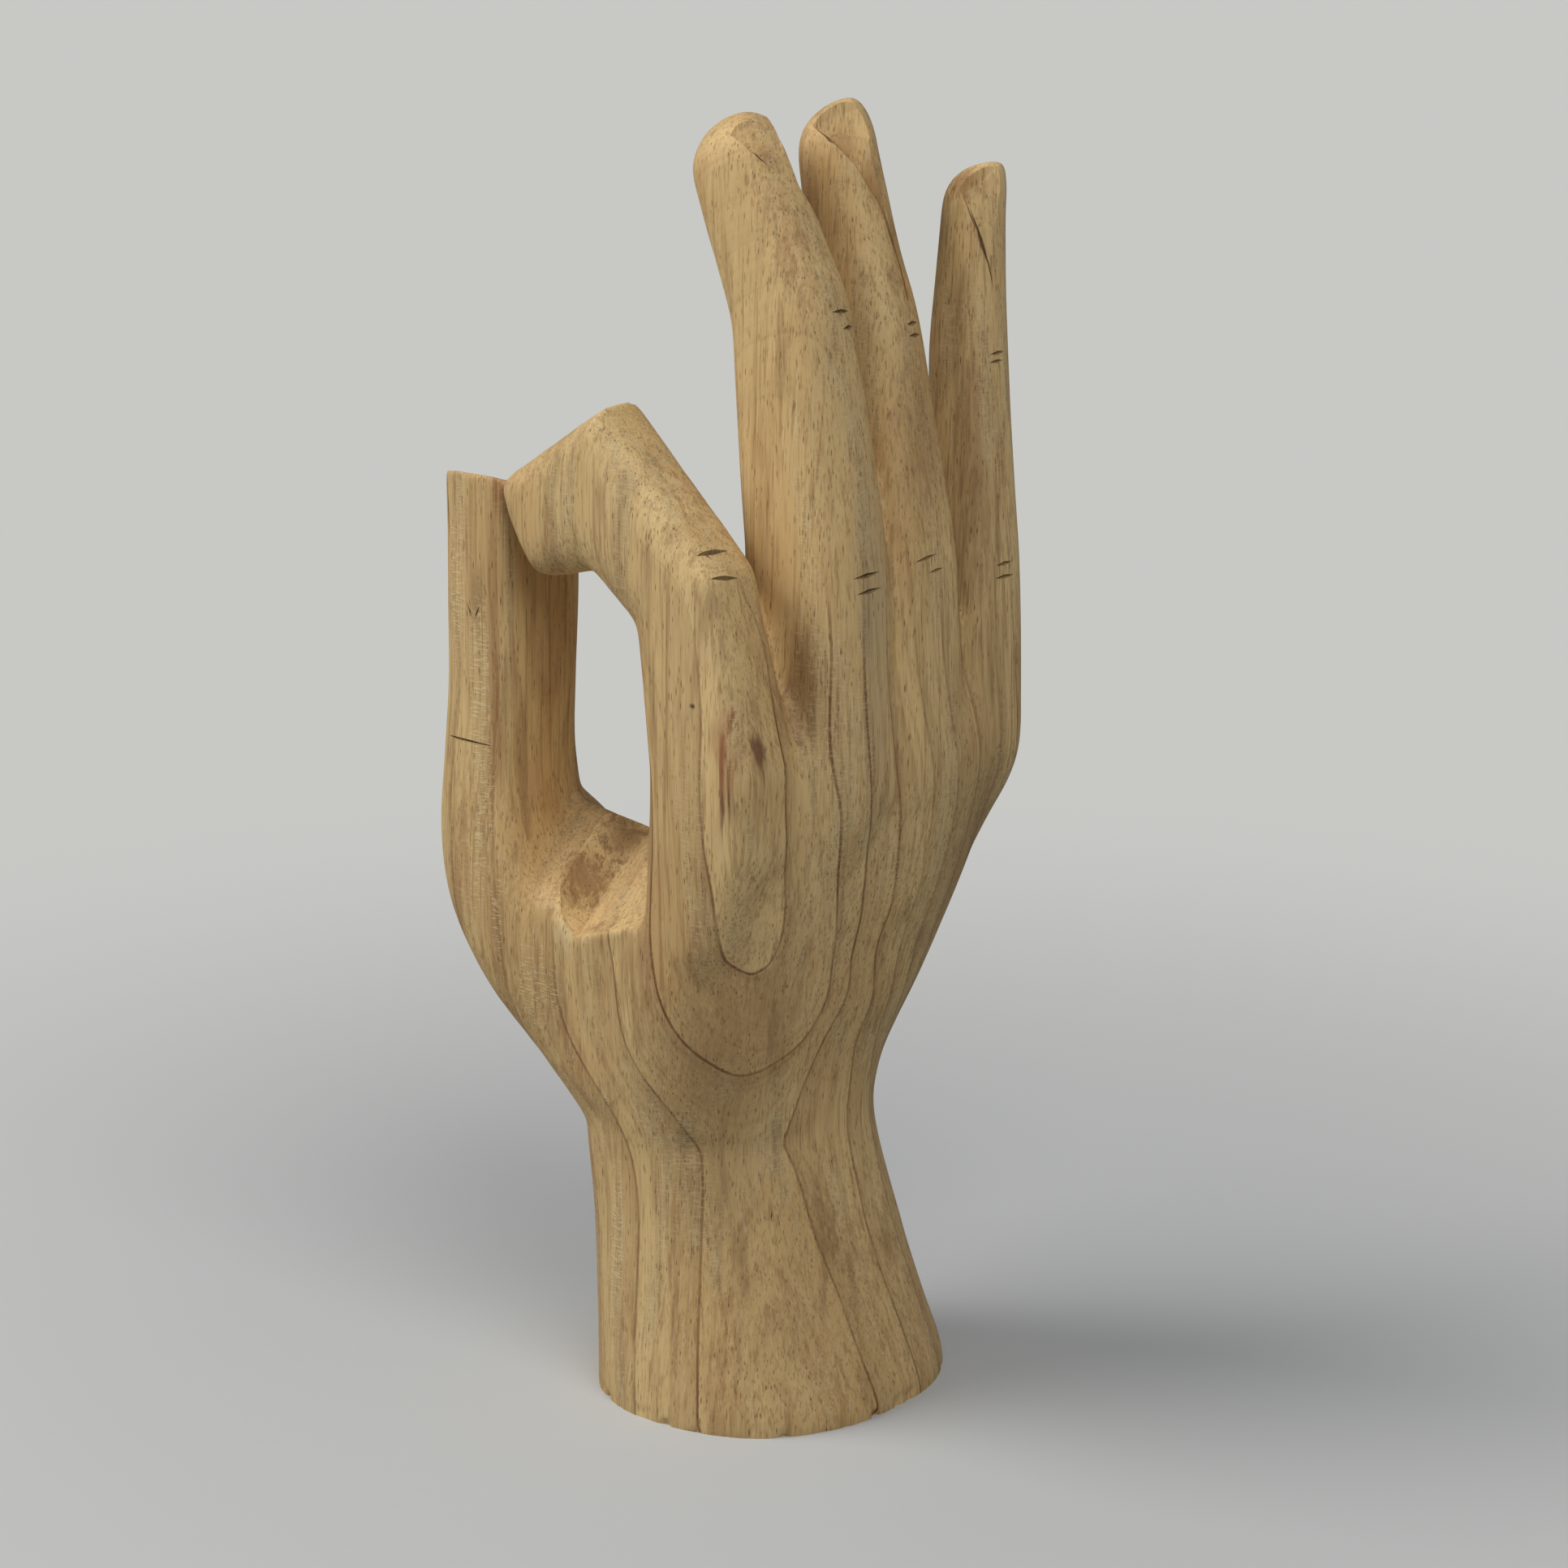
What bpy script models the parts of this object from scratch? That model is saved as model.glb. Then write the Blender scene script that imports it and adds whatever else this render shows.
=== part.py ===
"""A hand carved from one block of wood, its thumb and index finger joined in a ring.

Metres, +Z up. The origin is the centre of the flat base. +X is the back of the hand, -X its palm,
-Y the thumb side and +Y the little finger's side. Depths run from palm to back, widths from the
thumb side to the little finger's side.
"""
import math

import bmesh
import bpy
from mathutils import Vector

MM = 0.001
SIDEWAYS = Vector((0, 1, 0))

# Base, and the narrowest place of the wrist above it
BASE_DEPTH = 73 * MM
BASE_WIDTH = 83 * MM
WRIST_HEIGHT = 62 * MM
WRIST_DEPTH = 59 * MM
WRIST_WIDTH = 70.6 * MM
WRIST_SHIFT = -9.6 * MM
WRIST_SIDE_SHIFT = -2.8 * MM

# Knuckles: the palm is as wide there as its four fingers and their flesh
FINGER_PITCH = 23 * MM
PALM_SIDE = 12 * MM
KNUCKLE_HEIGHT = 150 * MM
KNUCKLE_SHIFT = 17 * MM
KNUCKLE_THICKNESS = 40 * MM
PALM_TURN = 13

# From base to wrist: share of the height, of the move to the wrist's centre and of the narrowing
FLARE_SHAPE = (
    (-0.06, 0, 0),
    (0.05, 0, 0),
    (0.32, 0.3, 0.34),
    (0.65, 0.65, 0.8),
    (0.97, 1, 1),
)
# From wrist to knuckles: share of the height, of the lean, of the thinning, of the widening and of
# the turn, then the squareness of the section
PALM_SHAPE = (
    (0.11, 0.03, 0.1, 0.08, 0.05, 2.4),
    (0.22, 0.13, 0.2, 0.27, 0.2, 2.5),
    (0.39, 0.35, 0.35, 0.57, 0.45, 2.6),
    (0.55, 0.55, 0.5, 0.76, 0.7, 2.7),
    (0.77, 0.82, 0.75, 0.9, 0.9, 2.8),
    (1, 1, 1, 0.88, 1, 2.8),
    (1.13, 1.06, 1.35, 0.7, 1, 2.6),
    (1.24, 1.1, 1.9, 0.25, 1, 2.4),
)

# Each finger: its place across the palm in pitches, how far its knuckle lies behind the palm's
# centre, the lengths of its three bones and their leans towards the palm in degrees, the half depths
# and half widths at its four joints, the length of its rounded end and how far that end is drawn
# towards the back. A nail is given by its length and by how deep it is cut at the tip.
INDEX = {
    "name": "index",
    "place": -1.5,
    "behind": -3 * MM,
    "bones": (46 * MM, 31.8 * MM, 25 * MM),
    "leans": (10.3, 47.2, 116.5),
    "half_depths": (17.4 * MM, 13.6 * MM, 15.2 * MM, 11.4 * MM),
    "half_widths": (12 * MM, 11.5 * MM, 11 * MM, 10.5 * MM),
    "splay": 0,
    "round_end": 6 * MM,
    "end_shift": 0.8,
    "ease": 0.05,
}
MIDDLE = {
    "name": "middle",
    "place": -0.5,
    "behind": 3 * MM,
    "bones": (50 * MM, 55 * MM, 35 * MM),
    "leans": (-0.5, 7, 23),
    "half_depths": (18 * MM, 15.4 * MM, 13.8 * MM, 11.2 * MM),
    "half_widths": (12.5 * MM, 11.5 * MM, 10.5 * MM, 9 * MM),
    "splay": 1,
    "round_end": 12 * MM,
    "end_shift": 0.15,
    "ease": 0.5,
    "nail": (20 * MM, 6 * MM),
}
RING = {
    "name": "ring",
    "place": 0.5,
    "behind": 6 * MM,
    "bones": (48 * MM, 53 * MM, 38 * MM),
    "leans": (-1.5, 8, 12.5),
    "half_depths": (17 * MM, 13.6 * MM, 12.8 * MM, 9.9 * MM),
    "half_widths": (12.5 * MM, 11.5 * MM, 10 * MM, 8.8 * MM),
    "splay": 1,
    "round_end": 12 * MM,
    "end_shift": 0.3,
    "ease": 0.5,
    "nail": (40 * MM, 7 * MM),
}
LITTLE = {
    "name": "little",
    "place": 1.5,
    "behind": 14 * MM,
    "bones": (44 * MM, 48 * MM, 32 * MM),
    "leans": (0, 2.8, -1),
    "half_depths": (12 * MM, 10.3 * MM, 9.2 * MM, 7.4 * MM),
    "half_widths": (11.2 * MM, 10.2 * MM, 8.6 * MM, 7 * MM),
    "splay": 1.5,
    "round_end": 11 * MM,
    "end_shift": 0.9,
    "ease": 0.5,
    "nail": (22 * MM, 2 * MM),
}
FINGERS = (INDEX, MIDDLE, RING, LITTLE)

# Thumb: a straight column in front of the palm, its inner face against the tip of the index finger
THUMB_DEPTH = 24 * MM
THUMB_WIDTH = 30 * MM
THUMB_INSET = 10.5 * MM
THUMB_PRESS = 1.8 * MM
THUMB_RISE = 11.5 * MM
THUMB_TOP_SLOPE = 22
THUMB_NAIL_LENGTH = 26 * MM
THUMB_NAIL_DEPTH = 1.2 * MM
THUMB_ROOT = Vector((2, -9.2, 0)) * MM
# Share of the height from wrist to index tip, share of the way out, factors for depth and width
THUMB_SHAPE = (
    (-0.01, 0, 1.17, 1.33),
    (0.083, 0.21, 1.33, 1.4),
    (0.18, 0.49, 1.375, 1.4),
    (0.28, 0.755, 1.33, 1.37),
    (0.375, 0.933, 1.25, 1.27),
    (0.47, 1.013, 1.17, 1.17),
    (0.59, 1.023, 1.06, 1.05),
    (0.715, 1, 1.02, 1.01),
    (0.89, 1, 1, 1),
    (1.15, 1, 1, 1),
)
THUMB_SQUARENESS = 3

# Web between thumb and palm: width and height of its corners at both ends, measured from the foot of
# the thumb's inner face, then the valley cut where it meets the palm
WEB_AT_THUMB = ((-10, -38), (-14, -30), (6, 1), (18, -10), (16, -36))
WEB_AT_PALM = ((-8, -64), (-18, -20), (4, -10.5), (22, -27), (24, -66))
VALLEY_LOW = Vector((17.3, -14, -28.2)) * MM
VALLEY_HIGH = Vector((23.2, 4, -8.2)) * MM
VALLEY_CORNER = Vector((43.3, -20, -19.8)) * MM

SIDES = 48
VOXEL = 2 * MM
SMOOTHING = 6
TRIANGLES = 10500


def clear_scene():
    for thing in list(bpy.data.objects):
        bpy.data.objects.remove(thing, do_unlink=True)


def blend(low, high, share):
    return low + (high - low) * share


def section(centre, across, along, half_across, half_along, squareness=2.4):
    """Points of one closed cross-section, a superellipse in the plane of across and along."""
    points = []
    for side in range(SIDES):
        angle = 2 * math.pi * side / SIDES
        cosine = math.cos(angle)
        sine = math.sin(angle)
        u = math.copysign(abs(cosine) ** (2 / squareness), cosine) * half_across
        v = math.copysign(abs(sine) ** (2 / squareness), sine) * half_along
        points.append(centre + across * u + along * v)
    return points


def solid(name, rings):
    """A closed solid through the rings."""
    shape = bmesh.new()
    loops = [[shape.verts.new(point) for point in ring] for ring in rings]
    for low, high in zip(loops, loops[1:]):
        for side, start in enumerate(low):
            after = (side + 1) % len(low)
            shape.faces.new((start, low[after], high[after], high[side]))
    shape.faces.new(list(reversed(loops[0])))
    shape.faces.new(loops[-1])
    bmesh.ops.recalc_face_normals(shape, faces=shape.faces)
    mesh = bpy.data.meshes.new(name)
    shape.to_mesh(mesh)
    shape.free()
    thing = bpy.data.objects.new(name, mesh)
    bpy.context.collection.objects.link(thing)
    return thing


def cutter(name, rings):
    thing = solid(name, rings)
    thing.hide_render = True
    thing.display_type = "WIRE"
    return thing


def wrist_centre(height):
    return Vector((WRIST_SHIFT, WRIST_SIDE_SHIFT, height))


def flare_rings():
    """Sections from just under the base up to the wrist."""
    rings = []
    for height, move, narrowing in FLARE_SHAPE:
        centre = wrist_centre(0) * move
        centre.z = WRIST_HEIGHT * height
        depth = blend(BASE_DEPTH, WRIST_DEPTH, narrowing)
        width = blend(BASE_WIDTH, WRIST_WIDTH, narrowing)
        rings.append(section(centre, Vector((1, 0, 0)), SIDEWAYS, depth / 2, width / 2))
    return rings


def palm_rings():
    """Sections from the wrist to the roots of the fingers."""
    palm_width = 3 * FINGER_PITCH + 2 * PALM_SIDE
    rings = []
    for height, lean, thinning, widening, turn, squareness in PALM_SHAPE:
        angle = math.radians(PALM_TURN * turn)
        centre = wrist_centre(0).lerp(Vector((KNUCKLE_SHIFT, 0, 0)), lean)
        centre.z = blend(WRIST_HEIGHT, KNUCKLE_HEIGHT, height)
        depth = blend(WRIST_DEPTH, KNUCKLE_THICKNESS, thinning)
        width = blend(WRIST_WIDTH, palm_width, widening)
        across = Vector((math.cos(angle), -math.sin(angle), 0))
        along = Vector((math.sin(angle), math.cos(angle), 0))
        rings.append(section(centre, across, along, depth / 2, width / 2, squareness))
    return rings


def finger_joints(finger):
    """Centres from the finger's root in the wrist over its knuckle to its tip."""
    y = finger["place"] * FINGER_PITCH
    knuckle = Vector((KNUCKLE_SHIFT + finger["behind"], y, KNUCKLE_HEIGHT))
    root = wrist_centre(blend(WRIST_HEIGHT, KNUCKLE_HEIGHT, 0.2)) + Vector((7 * MM, y * 0.78, 0))
    joints = [root, knuckle]
    splay = math.sin(math.radians(finger["splay"]))
    for length, lean in zip(finger["bones"], finger["leans"]):
        angle = math.radians(lean)
        joints.append(joints[-1] + Vector((-math.sin(angle), splay, math.cos(angle))) * length)
    return joints


def eased_joint(joints, index, ease):
    """A joint centre drawn towards the chord between its neighbours, so that the bend is softer."""
    low = blend(joints[index], joints[index - 1], 0.3)
    high = blend(joints[index], joints[index + 1], 0.3)
    return blend(joints[index], (low + high) / 2, ease)


def finger_solid(finger):
    joints = finger_joints(finger)
    depths = (finger["half_depths"][0] * 0.85,) + finger["half_depths"]
    widths = (finger["half_widths"][0] * 0.8,) + finger["half_widths"]
    axes = [(high - low).normalized() for low, high in zip(joints, joints[1:])]
    outs = [SIDEWAYS.cross(axis).normalized() for axis in axes]
    rings = []
    for index, axis in enumerate(axes):
        centre = joints[index]
        mitre = axis
        if index:
            centre = eased_joint(joints, index, finger["ease"])
            mitre = (axes[index - 1] + axis).normalized()
        stretch = 1 / max(mitre.dot(axis), 0.5)
        out = SIDEWAYS.cross(mitre).normalized()
        rings.append(section(centre, out, SIDEWAYS, depths[index] * stretch, widths[index]))
        for share in (0.33, 0.67):
            centre = blend(joints[index], joints[index + 1], share)
            depth = blend(depths[index], depths[index + 1], share)
            width = blend(widths[index], widths[index + 1], share)
            rings.append(section(centre, outs[index], SIDEWAYS, depth, width))
    for step in range(7):
        share = step / 7
        size = (1 - share ** 2) ** 0.5
        shift = depths[4] * (1 - size) * finger["end_shift"]
        centre = joints[4] + axes[3] * finger["round_end"] * share + outs[3] * shift
        rings.append(section(centre, outs[3], SIDEWAYS, depths[4] * size, widths[4] * size))
    return solid(finger["name"], rings)


def nail_cutter(finger):
    """A block whose underside is the slanted face of the nail."""
    length, drop = finger["nail"]
    joints = finger_joints(finger)
    axis = (joints[4] - joints[3]).normalized()
    out = SIDEWAYS.cross(axis).normalized()
    end_depth = finger["half_depths"][3]
    tip = joints[4] + axis * finger["round_end"]
    base = tip - axis * length + out * blend(end_depth, finger["half_depths"][2], 0.2)
    end = tip + out * (end_depth - drop)
    face = (end - base).normalized()
    lift = SIDEWAYS.cross(face).normalized() * end_depth * 3
    side = SIDEWAYS * finger["half_widths"][3] * 1.35
    overrun = face * length * 0.3
    low = base - overrun
    high = end + overrun
    rings = [[point - side, point - side + lift, point + side + lift, point + side]
             for point in (low, high)]
    return cutter("nail_cut_" + finger["name"], rings)


def palm_solid():
    return solid("palm", flare_rings() + palm_rings())


def pinch_point():
    """The middle of the index tip, where it meets the thumb."""
    joints = finger_joints(INDEX)
    axis = (joints[4] - joints[3]).normalized()
    return joints[4] + axis * (INDEX["round_end"] - THUMB_PRESS)


def thumb_column():
    """Centre of the thumb at the height of the pinch."""
    return pinch_point() + Vector((-THUMB_DEPTH / 2, THUMB_INSET, 0))


def thumb_solid():
    column = thumb_column()
    root = wrist_centre(0) + THUMB_ROOT
    centres = []
    for height, reach, _, _ in THUMB_SHAPE:
        centre = root.lerp(column, reach)
        centre.z = blend(WRIST_HEIGHT, column.z, height)
        centres.append(centre)
    rings = []
    for index, (_, _, deeper, wider) in enumerate(THUMB_SHAPE):
        low = centres[max(index - 1, 0)]
        high = centres[min(index + 1, len(centres) - 1)]
        axis = (high - low).normalized()
        across = SIDEWAYS.cross(axis).normalized()
        rings.append(section(centres[index], across, axis.cross(across), THUMB_DEPTH / 2 * deeper,
                             THUMB_WIDTH / 2 * wider, THUMB_SQUARENESS))
    return solid("thumb", rings)


def thumb_top_cutter():
    """A block whose underside is the sloping end of the thumb."""
    column = thumb_column()
    near = column + Vector((0, -THUMB_WIDTH / 2, THUMB_RISE))
    slope = math.radians(THUMB_TOP_SLOPE)
    fall = Vector((0, math.cos(slope), -math.sin(slope))) * THUMB_WIDTH
    lift = Vector((0, math.sin(slope), math.cos(slope))) * THUMB_WIDTH
    low = near - fall / 2
    high = near + fall * 1.5
    rings = []
    for side in (-1, 1):
        shift = Vector((side * THUMB_DEPTH * 0.75, 0, 0))
        rings.append([low + shift, high + shift, high + shift + lift, low + shift + lift])
    return cutter("thumb_top_cut", rings)


def thumb_nail_cutter():
    """A slab that takes a shallow face off the outer side of the thumb's end."""
    column = thumb_column()
    face = Vector((column.x - THUMB_DEPTH / 2 + THUMB_NAIL_DEPTH, column.y, column.z + THUMB_RISE))
    low = face - Vector((0, 0, THUMB_NAIL_LENGTH))
    high = face + Vector((0, 0, THUMB_WIDTH))
    side = SIDEWAYS * THUMB_WIDTH * 0.75
    out = Vector((-THUMB_DEPTH, 0, 0))
    rings = [[point - side, point - side + out, point + side + out, point + side]
             for point in (low, high)]
    return cutter("nail_cut_thumb", rings)


def web_corner():
    """Foot of the thumb's inner face, where the web begins."""
    column = thumb_column()
    return Vector((column.x + THUMB_DEPTH / 2, column.y, KNUCKLE_HEIGHT - 10 * MM))


def web_solid():
    """Flesh between the thumb's root and the palm, falling towards the palm."""
    corner = web_corner()
    rings = []
    for outline, x in ((WEB_AT_THUMB, corner.x - THUMB_DEPTH * 0.3),
                       (WEB_AT_PALM, KNUCKLE_SHIFT - KNUCKLE_THICKNESS / 2)):
        rings.append([Vector((x, corner.y + y * MM, corner.z + z * MM)) for y, z in outline])
    return solid("web", rings)


def valley_cutter():
    """A wedge that bevels the palm's edge down to the line where it meets the web."""
    corner = web_corner()
    low = corner + VALLEY_LOW
    high = corner + VALLEY_HIGH
    edge = corner + VALLEY_CORNER
    floor = [low + (low - high), edge + (edge - high) * 0.8, high + (high - low) * 0.1]
    up = Vector((0, 0, 30 * MM))
    left = Vector((-20 * MM, 0, 0))
    top = [floor[0] + up + left, floor[1] + up, floor[2] + up]
    return cutter("valley_cut", [floor, top])


def base_cutter():
    side = BASE_WIDTH
    rings = []
    for z in (-WRIST_HEIGHT / 2, 0):
        rings.append([Vector((x * side, y * side, z)) for x, y in ((-1, -1), (1, -1), (1, 1), (-1, 1))])
    return cutter("base_cut", rings)


def fuse(pieces):
    """One closed skin round overlapping solids."""
    bpy.ops.object.select_all(action="DESELECT")
    for piece in pieces:
        piece.select_set(True)
    hand = pieces[0]
    bpy.context.view_layer.objects.active = hand
    bpy.ops.object.join()
    hand.name = "carved_hand"
    hand.data.name = "carved_hand"
    skin = hand.modifiers.new("skin", "REMESH")
    skin.mode = "VOXEL"
    skin.voxel_size = VOXEL
    smooth = hand.modifiers.new("smooth", "SMOOTH")
    smooth.factor = 0.5
    smooth.iterations = SMOOTHING
    return hand


def cut(hand, tool):
    slot = hand.modifiers.new(tool.name, "BOOLEAN")
    slot.operation = "DIFFERENCE"
    slot.object = tool
    slot.solver = "EXACT"


def thin_out(hand):
    """Fewer triangles where the surface is nearly flat."""
    graph = bpy.context.evaluated_depsgraph_get()
    mesh = hand.evaluated_get(graph).data
    count = sum(len(face.vertices) - 2 for face in mesh.polygons)
    fewer = hand.modifiers.new("fewer", "DECIMATE")
    fewer.ratio = min(1, TRIANGLES / count)


def wood():
    material = bpy.data.materials.new("pale hardwood")
    material.use_nodes = True
    shader = material.node_tree.nodes["Principled BSDF"]
    shader.inputs["Base Color"].default_value = (0.42, 0.28, 0.13, 1)
    shader.inputs["Roughness"].default_value = 0.65
    return material


def build():
    clear_scene()
    pieces = [palm_solid(), thumb_solid(), web_solid()]
    pieces += [finger_solid(finger) for finger in FINGERS]
    cutters = [valley_cutter(), thumb_top_cutter(), thumb_nail_cutter()]
    cutters += [nail_cutter(finger) for finger in FINGERS if "nail" in finger]
    cutters.append(base_cutter())
    hand = fuse(pieces)
    for tool in cutters:
        cut(hand, tool)
    thin_out(hand)
    hand.data.materials.clear()
    hand.data.materials.append(wood())
    hand.data.polygons.foreach_set("use_smooth", [True] * len(hand.data.polygons))


build()
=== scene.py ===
import math

import bmesh
import bpy
import numpy as np
from mathutils import Matrix, Vector, noise
from mathutils.bvhtree import BVHTree


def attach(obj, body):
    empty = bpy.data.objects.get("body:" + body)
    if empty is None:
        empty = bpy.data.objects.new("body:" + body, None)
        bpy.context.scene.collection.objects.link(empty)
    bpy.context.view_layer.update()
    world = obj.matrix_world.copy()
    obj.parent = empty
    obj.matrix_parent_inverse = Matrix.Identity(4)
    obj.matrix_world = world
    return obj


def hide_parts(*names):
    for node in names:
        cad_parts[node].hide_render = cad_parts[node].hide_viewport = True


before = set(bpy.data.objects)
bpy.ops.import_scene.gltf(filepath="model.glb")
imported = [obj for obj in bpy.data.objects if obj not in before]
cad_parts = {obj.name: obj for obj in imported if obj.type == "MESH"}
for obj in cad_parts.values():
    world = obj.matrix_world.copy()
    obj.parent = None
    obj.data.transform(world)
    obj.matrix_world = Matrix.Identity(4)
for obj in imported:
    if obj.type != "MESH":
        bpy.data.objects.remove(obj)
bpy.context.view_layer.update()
print("frame loaded")

# All sizes below are in millimetres, and the finished mesh is scaled to metres.
# x runs from the palm to the back of the hand, y from the thumb to the little finger, z up.
toMetres = 0.001
sideways = Vector((0, 1, 0))


def mixed(low, high, share):
    return low + (high - low) * share


# Rings of points, joined into closed solids

ringPoints = 64


def ring(centre, across, along, halfAcross, halfAlong, squareness):
    # squareness is one exponent, or four: one for each quarter, from across over along
    corners = squareness if isinstance(squareness, tuple) else (squareness,) * 4
    points = []
    for step in range(ringPoints):
        angle = 2 * math.pi * step / ringPoints
        power = 2 / corners[int(4 * step / ringPoints)]
        cosine = math.cos(angle)
        sine = math.sin(angle)
        u = math.copysign(abs(cosine) ** power, cosine) * halfAcross
        v = math.copysign(abs(sine) ** power, sine) * halfAlong
        points.append(centre + across * u + along * v)
    return points


def closedSolid(name, rings):
    shape = bmesh.new()
    loops = [[shape.verts.new(point) for point in points] for points in rings]
    for low, high in zip(loops, loops[1:]):
        for step, start in enumerate(low):
            after = (step + 1) % len(low)
            shape.faces.new((start, low[after], high[after], high[step]))
    shape.faces.new(list(reversed(loops[0])))
    shape.faces.new(loops[-1])
    bmesh.ops.recalc_face_normals(shape, faces=shape.faces)
    mesh = bpy.data.meshes.new(name)
    shape.to_mesh(mesh)
    shape.free()
    piece = bpy.data.objects.new(name, mesh)
    bpy.context.scene.collection.objects.link(piece)
    return piece


def smoothTable(rows, steps):
    # a smooth curve through every row of a table, with steps new rows between two old ones
    table = np.array(rows, float)
    slopes = np.gradient(table, axis=0)
    result = []
    for row in range(len(table) - 1):
        for step in range(steps):
            t = step / steps
            result.append((2 * t**3 - 3 * t**2 + 1) * table[row] + (t**3 - 2 * t**2 + t) * slopes[row]
                          + (3 * t**2 - 2 * t**3) * table[row + 1] + (t**3 - t**2) * slopes[row + 1])
    result.append(table[-1])
    return result


# Wrist and palm: z, x, y, half depth, half width, turn in degrees, squareness

palm = {
    "steps": 6,
    "stations": (
        (-4, 0, 0, 36.7, 41.3, 0, 2.3),
        (3, 0, 0, 36.7, 41.3, 0, 2.3),
        (20, -2.9, -0.8, 34, 38.9, 0, 2.3),
        (40, -6.2, -1.8, 30.6, 36.2, 0, 2.4),
        (60, -9.4, -2.7, 29.1, 35, 0, 2.4),
        (72, -8.8, -2.5, 28.4, 36.4, 0.7, 2.4),
        (82, -6.3, -1.9, 27.4, 39, 2.6, 2.5),
        (96, -0.9, -1.6, 25.9, 41.9, 5.9, 2.6),
        (110, 4.2, -1.7, 24.4, 43.4, 9.1, 2.7),
        (130, 11.6, -1.5, 22.2, 44.2, 11.7, 2.8),
        (150, 16.6, -0.6, 20, 44.4, 13, 2.8),
        (161, 18.6, 0.2, 16.7, 43.1, 13, 2.6),
        (171, 19.7, 0.3, 11.5, 38.1, 13, 2.4),
    ),
}


def palmSolid():
    sections = []
    for z, x, y, halfDepth, halfWidth, turn, squareness in smoothTable(palm["stations"], palm["steps"]):
        angle = math.radians(turn)
        across = Vector((math.cos(angle), -math.sin(angle), 0))
        along = Vector((math.sin(angle), math.cos(angle), 0))
        sections.append(ring(Vector((x, y, z)), across, along, halfDepth, halfWidth, float(squareness)))
    return closedSolid("palmBlock", sections)


# Fingers: y of the knuckle, its x and z, the root in the wrist, the bones with their leans towards the
# palm, and half depths and half widths at root, knuckle, both joints and the last one's end.
# softness is how far the bends are rounded along the finger, roundEnd how far the tip reaches past the
# last bone. The section changes from low to high squareness on the way from the knuckle to the tip.

squareFrom, squareOver = 1.5, 1.8
tipSteps = 12

fingers = {
    "middle": {
        "y": -11.5, "knuckle": (20, 150), "root": (-2.6, -11.8, 79.6),
        "bones": (50, 55, 34), "leans": (-0.5, 7, 23),
        "halfDepths": (15.3, 18, 15.4, 13.6, 11.5), "halfWidths": (10, 12.5, 11.5, 10.5, 10),
        "splay": 1, "roundEnd": 11, "endShift": 0.15, "softness": 9,
        "lowSquareness": (5.5, 2.6, 2.6, 2.6), "highSquareness": (1.9, 2.9, 2.9, 2.7),
    },
    "ring": {
        "y": 11.5, "knuckle": (23, 150), "root": (-2.6, 6.2, 79.6),
        "bones": (48, 53, 37), "leans": (-1.5, 8, 12.5),
        "halfDepths": (14.5, 17, 13.3, 12, 9.1), "halfWidths": (10, 12.5, 11.5, 9.6, 8.8),
        "splay": 1, "roundEnd": 11.8, "endShift": 0.55, "softness": 9,
        "lowSquareness": (5.5, 2.6, 2.6, 5.5), "highSquareness": (1.6, 2.6, 2.6, 3.2),
    },
    "little": {
        "y": 34.3, "knuckle": (30.4, 150), "root": (-2.6, 24.1, 79.6),
        "bones": (44, 48, 31.6), "leans": (0, 2.8, -1),
        "halfDepths": (10, 11.4, 9.9, 8.8, 7.4), "halfWidths": (9, 11, 9.8, 8.2, 7),
        "splay": 1.5, "roundEnd": 10.5, "endShift": 0.9, "softness": 8,
        "lowSquareness": (2.8, 2.6, 2.6, 5.5), "highSquareness": (1.8, 2.6, 2.6, 2.8),
    },
}

# The index is bent with flat mitres, so it has stations of its own: x and z of the back of the
# finger, x and z of its inner side, half width. Its root lies further inside the hand.

indexFinger = {
    "y": -34.5,
    "steps": 8,
    "stations": (
        (6, 84, -8, 86, 8),
        (19.5, 115, -4.4, 115, 10.6),
        (28.2, 138, -2.4, 137, 11.8),
        (30, 158, -2.2, 156, 12),
        (18.7, 201.8, -5.6, 187.6, 11.6),
        (-14.7, 235, -18.5, 197.2, 11),
        (-37, 220, -33, 193.6, 10.6),
        (-41, 217.4, -35, 196.5, 9.8),
        (-44, 215.2, -39.2, 202, 7.6),
        (-45.5, 213.4, -43.8, 208, 4),
    ),
    "rootShift": 9,
    "squareness": (2.6, 2.6, 3, 4),
}


def fingerPath(finger):
    # points every millimetre from root to last joint, then half depth, half width and four
    # squarenesses at each; the bends are softened
    joints = [Vector(finger["root"]), Vector((finger["knuckle"][0], finger["y"], finger["knuckle"][1]))]
    splay = math.sin(math.radians(finger["splay"]))
    for length, lean in zip(finger["bones"], finger["leans"]):
        angle = math.radians(lean)
        joints.append(joints[-1] + Vector((-math.sin(angle), splay, math.cos(angle))) * length)
    rows = []
    for bone in range(4):
        count = round((joints[bone + 1] - joints[bone]).length)
        for step in range(count + (bone == 3)):
            share = step / count
            low, high = Vector(finger["lowSquareness"]), Vector(finger["highSquareness"])
            rise = min(max((bone + share - squareFrom) / squareOver, 0), 1)
            rows.append((*mixed(joints[bone], joints[bone + 1], share),
                         mixed(finger["halfDepths"][bone], finger["halfDepths"][bone + 1], share),
                         mixed(finger["halfWidths"][bone], finger["halfWidths"][bone + 1], share),
                         *mixed(low, high, rise)))
    table = np.array(rows)
    smooth = table.copy()
    for row in range(1, len(table) - 1):
        span = min(finger["softness"], row, len(table) - 1 - row)
        weights = 1 + np.cos(np.linspace(-np.pi, np.pi, 2 * span + 3)[1:-1])
        smooth[row] = (table[row - span:row + span + 1] * weights[:, None]).sum(0) / weights.sum()
    return smooth


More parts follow.
